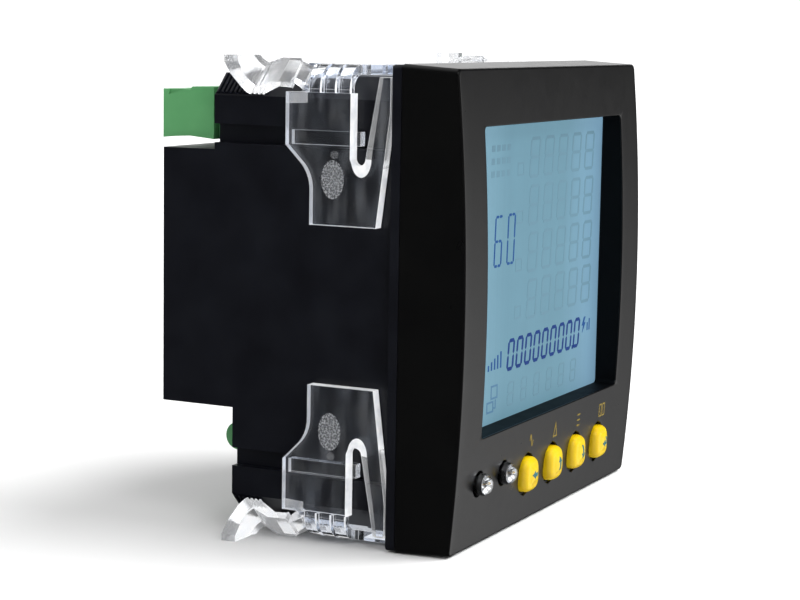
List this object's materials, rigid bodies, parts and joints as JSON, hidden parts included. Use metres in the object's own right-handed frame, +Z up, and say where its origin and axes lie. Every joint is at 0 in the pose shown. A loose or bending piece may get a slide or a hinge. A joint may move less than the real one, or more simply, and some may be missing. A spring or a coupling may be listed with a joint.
{
  "type": "panel-mount multifunction electric energy meter",
  "caption": "Square panel-mount electric energy meter with a deep-set blue display, yellow push buttons, clear clamping clips and green pluggable terminals.",
  "frame": {"origin": "centre of the panel cut-out in the plane where the bezel flange seats on the panel", "axes": "+X to the right seen from the front, +Y into the panel along the case, +Z up"},
  "size_m": [0.1048, 0.0735, 0.098],
  "materials": {
    "bezel_black": "fine moulded texture",
    "case_black": "satin moulded",
    "lcd_film": "satin film",
    "display_glass": "polished",
    "light_guide": "milky",
    "tinned_metal": "bright tinned",
    "circuit_board": "solder mask",
    "screw_steel": "zinc plated",
    "chip_black": "matt moulded",
    "lamp_clear": "clear epoxy",
    "brass": "turned",
    "ferrite": "sintered",
    "tape_yellow": "wound tape",
    "capacitor_sleeve": "shrunk sleeve",
    "copper": "bare drawn copper",
    "terminal_black": "satin moulded",
    "clamp_steel": "stamped, zinc plated",
    "transformer_blue": "potted housing",
    "connector_green": "satin moulded",
    "button_yellow": "satin moulded",
    "plunger_white": "satin moulded",
    "clip_clear": "clear polished polycarbonate"
  },
  "bodies": {
    "housing": {"front_bezel": "bezel_black", "lcd_front_polarizer": "lcd_film", "lcd_front_glass": "display_glass", "lcd_rear_glass": "display_glass", "lcd_backlight": "light_guide", "lcd_frame": "case_black", "lcd_pins": "tinned_metal", "display_board": "circuit_board", "display_screws": "screw_steel", "switch_bodies": "chip_black", "led_lens_left": "lamp_clear", "led_lens_right": "lamp_clear", "led_lead_frames": "tinned_metal", "led_spacers": "case_black", "rear_case": "case_black", "measure_board": "circuit_board", "microcontroller": "chip_black", "metering_chip": "chip_black", "display_link_socket": "chip_black", "display_link_header": "chip_black", "power_board": "circuit_board", "board_standoffs": "brass", "board_screws": "screw_steel", "stack_header": "chip_black", "transformer_core": "ferrite", "transformer_winding": "tape_yellow", "bulk_capacitor": "capacitor_sleeve", "output_capacitors": "capacitor_sleeve", "current_transformer_1": "transformer_blue", "current_transformer_2": "transformer_blue", "current_transformer_3": "transformer_blue", "primary_bars": "copper", "current_terminal_block": "terminal_black", "terminal_clamp_plates": "clamp_steel", "terminal_screws": "screw_steel", "left_header": "connector_green", "right_header": "connector_green", "header_pins": "tinned_metal", "voltage_header": "connector_green"},
    "button_1": {"button_cap_1": "button_yellow", "switch_plunger_1": "plunger_white"},
    "button_2": {"button_cap_2": "button_yellow", "switch_plunger_2": "plunger_white"},
    "button_3": {"button_cap_3": "button_yellow", "switch_plunger_3": "plunger_white"},
    "button_4": {"button_cap_4": "button_yellow", "switch_plunger_4": "plunger_white"},
    "clip_top": {"clip_top": "clip_clear"},
    "clip_bottom": {"clip_bottom": "clip_clear"},
    "lever_top_left": {"lever_top_left": "clip_clear"},
    "lever_top_right": {"lever_top_right": "clip_clear"},
    "lever_bottom_left": {"lever_bottom_left": "clip_clear"},
    "lever_bottom_right": {"lever_bottom_right": "clip_clear"},
    "left_plug": {"left_plug_body": "connector_green", "left_plug_screws": "screw_steel", "left_plug_clamps": "clamp_steel"},
    "right_plug": {"right_plug_body": "connector_green", "right_plug_screws": "screw_steel", "right_plug_clamps": "clamp_steel"}
  },
  "joints": [
    {"name": "button_1_press", "type": "slide", "parent": "housing", "child": "button_1", "axis": [0, 1, 0], "range_m": [0, 0.0005], "stiffness_N_per_m": 1200, "springref_m": -0.0006},
    {"name": "button_2_press", "type": "slide", "parent": "housing", "child": "button_2", "axis": [0, 1, 0], "range_m": [0, 0.0005], "stiffness_N_per_m": 1200, "springref_m": -0.0006},
    {"name": "button_3_press", "type": "slide", "parent": "housing", "child": "button_3", "axis": [0, 1, 0], "range_m": [0, 0.0005], "stiffness_N_per_m": 1200, "springref_m": -0.0006},
    {"name": "button_4_press", "type": "slide", "parent": "housing", "child": "button_4", "axis": [0, 1, 0], "range_m": [0, 0.0005], "stiffness_N_per_m": 1200, "springref_m": -0.0006},
    {"name": "clip_top_slide", "type": "slide", "parent": "housing", "child": "clip_top", "axis": [0, 1, 0], "range_m": [0, 0.008]},
    {"name": "clip_bottom_slide", "type": "slide", "parent": "housing", "child": "clip_bottom", "axis": [0, 1, 0], "range_m": [0, 0.008]},
    {"name": "lever_top_left_lift", "type": "hinge", "parent": "clip_top", "child": "lever_top_left", "pos_m": [-0.04418, 0.02, 0.04413], "axis": [0.7071, 0, 0.7071], "range_deg": [0, 12], "stiffness_Nm_per_rad": 0.05, "springref_deg": -5.73},
    {"name": "lever_top_right_lift", "type": "hinge", "parent": "clip_top", "child": "lever_top_right", "pos_m": [0.04418, 0.02, 0.04413], "axis": [0.7071, 0, -0.7071], "range_deg": [0, 12], "stiffness_Nm_per_rad": 0.05, "springref_deg": -5.73},
    {"name": "lever_bottom_left_lift", "type": "hinge", "parent": "clip_bottom", "child": "lever_bottom_left", "pos_m": [-0.04418, 0.02, -0.04413], "axis": [-0.7071, 0, 0.7071], "range_deg": [0, 12], "stiffness_Nm_per_rad": 0.05, "springref_deg": -5.73},
    {"name": "lever_bottom_right_lift", "type": "hinge", "parent": "clip_bottom", "child": "lever_bottom_right", "pos_m": [0.04418, 0.02, -0.04413], "axis": [-0.7071, 0, -0.7071], "range_deg": [0, 12], "stiffness_Nm_per_rad": 0.05, "springref_deg": -5.73},
    {"name": "left_plug_pull", "type": "slide", "parent": "housing", "child": "left_plug", "axis": [0, 1, 0], "range_m": [0, 0.008]},
    {"name": "right_plug_pull", "type": "slide", "parent": "housing", "child": "right_plug", "axis": [0, 1, 0], "range_m": [0, 0.008]}
  ]
}
